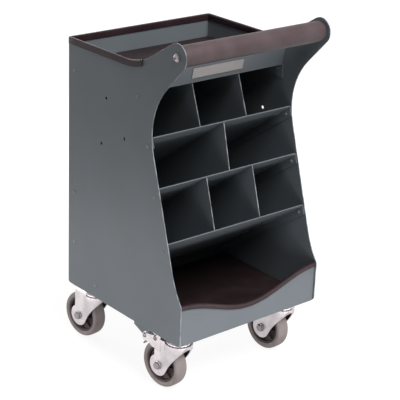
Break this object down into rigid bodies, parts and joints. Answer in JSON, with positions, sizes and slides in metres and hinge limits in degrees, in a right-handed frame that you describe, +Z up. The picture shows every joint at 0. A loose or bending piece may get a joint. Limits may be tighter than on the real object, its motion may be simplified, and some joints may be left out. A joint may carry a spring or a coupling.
{
  "type": "tool cart",
  "caption": "Compact sheet-steel tool cart with a tray on top, sloping divided shelves, an open bottom bay, a push handle and swivel casters with brakes at the front.",
  "frame": {"origin": "middle of the bounding box's footprint, at the height where the wheels stand", "axes": "+X to the cart's right as seen by someone facing its front, +Y from its front to its back, +Z up"},
  "size_m": [0.3748, 0.4164, 0.7312],
  "materials": {
    "paint": "satin slate grey powder coat",
    "mat": "ribbed, matt dark brown",
    "trim": "smooth, low sheen",
    "grip": "matt foam",
    "zinc": "bright zinc plate",
    "bare_plate": "brushed, plain",
    "tyre": "warm grey, worn smooth",
    "hub_plastic": "moulded, dark brown",
    "pedal_coat": "dark grey coat",
    "plug_plastic": "black"
  },
  "bodies": {
    "cabinet": {"apron_trim": "trim", "back_panel": "paint", "base_plate": "paint", "bay_mat": "mat", "divider_1_1": "paint", "divider_1_2": "paint", "divider_2_1": "paint", "divider_3_1": "paint", "divider_3_2": "paint", "front_left_caster_plate": "zinc", "front_left_caster_race": "zinc", "front_left_king_pin": "zinc", "front_lug_left": "paint", "front_lug_right": "paint", "front_right_caster_plate": "zinc", "front_right_caster_race": "zinc", "front_right_king_pin": "zinc", "handle_grip": "grip", "handle_plug_left": "plug_plastic", "handle_plug_right": "plug_plastic", "handle_screw_left": "zinc", "handle_screw_right": "zinc", "handle_tube": "zinc", "kick_apron": "paint", "left_side_panel": "paint", "name_plate": "bare_plate", "rear_left_caster_plate": "zinc", "rear_left_caster_race": "zinc", "rear_left_king_pin": "zinc", "rear_right_caster_plate": "zinc", "rear_right_caster_race": "zinc", "rear_right_king_pin": "zinc", "right_side_panel": "paint", "rim_trim": "trim", "shelf_1": "paint", "shelf_2": "paint", "shelf_3": "paint", "top_tray": "paint", "tray_mat": "mat"},
    "front_left_swivel": {"front_left_fork": "zinc", "front_left_axle_bolt": "zinc", "front_left_brake_housing": "zinc"},
    "front_left_wheel": {"front_left_wheel_hub": "hub_plastic", "front_left_tyre": "tyre"},
    "front_left_pedal": {"front_left_brake_pedal": "pedal_coat"},
    "front_right_swivel": {"front_right_fork": "zinc", "front_right_axle_bolt": "zinc", "front_right_brake_housing": "zinc"},
    "front_right_wheel": {"front_right_wheel_hub": "hub_plastic", "front_right_tyre": "tyre"},
    "front_right_pedal": {"front_right_brake_pedal": "pedal_coat"},
    "rear_left_swivel": {"rear_left_fork": "zinc", "rear_left_axle_bolt": "zinc"},
    "rear_left_wheel": {"rear_left_wheel_hub": "hub_plastic", "rear_left_tyre": "tyre"},
    "rear_right_swivel": {"rear_right_fork": "zinc", "rear_right_axle_bolt": "zinc"},
    "rear_right_wheel": {"rear_right_wheel_hub": "hub_plastic", "rear_right_tyre": "tyre"}
  },
  "joints": [
    {"name": "front_left_swivel_turn", "type": "hinge", "parent": "cabinet", "child": "front_left_swivel", "pos_m": [-0.14, -0.1548, 0.1185], "axis": [0, 0, 1], "continuous": true},
    {"name": "front_left_wheel_spin", "type": "hinge", "parent": "front_left_swivel", "child": "front_left_wheel", "pos_m": [-0.14384, -0.1183, 0.05], "axis": [0.9945, 0.1045, 0], "continuous": true},
    {"name": "front_left_pedal_press", "type": "hinge", "parent": "front_left_swivel", "child": "front_left_pedal", "pos_m": [-0.14491, -0.10806, 0.1067], "axis": [-0.9945, -0.1045, 0], "range_deg": [0, 4]},
    {"name": "front_right_swivel_turn", "type": "hinge", "parent": "cabinet", "child": "front_right_swivel", "pos_m": [0.14, -0.1548, 0.1185], "axis": [0, 0, 1], "continuous": true},
    {"name": "front_right_wheel_spin", "type": "hinge", "parent": "front_right_swivel", "child": "front_right_wheel", "pos_m": [0.13808, -0.11815, 0.05], "axis": [0.9986, 0.0523, 0], "continuous": true},
    {"name": "front_right_pedal_press", "type": "hinge", "parent": "front_right_swivel", "child": "front_right_pedal", "pos_m": [0.13754, -0.10786, 0.1067], "axis": [-0.9986, -0.0523, 0], "range_deg": [0, 4]},
    {"name": "rear_left_swivel_turn", "type": "hinge", "parent": "cabinet", "child": "rear_left_swivel", "pos_m": [-0.14, 0.1211, 0.1185], "axis": [0, 0, 1], "continuous": true},
    {"name": "rear_left_wheel_spin", "type": "hinge", "parent": "rear_left_swivel", "child": "rear_left_wheel", "pos_m": [-0.14384, 0.1576, 0.05], "axis": [0.9945, 0.1045, 0], "continuous": true},
    {"name": "rear_right_swivel_turn", "type": "hinge", "parent": "cabinet", "child": "rear_right_swivel", "pos_m": [0.14, 0.1211, 0.1185], "axis": [0, 0, 1], "continuous": true},
    {"name": "rear_right_wheel_spin", "type": "hinge", "parent": "rear_right_swivel", "child": "rear_right_wheel", "pos_m": [0.13744, 0.15771, 0.05], "axis": [0.9976, 0.0698, 0], "continuous": true}
  ]
}
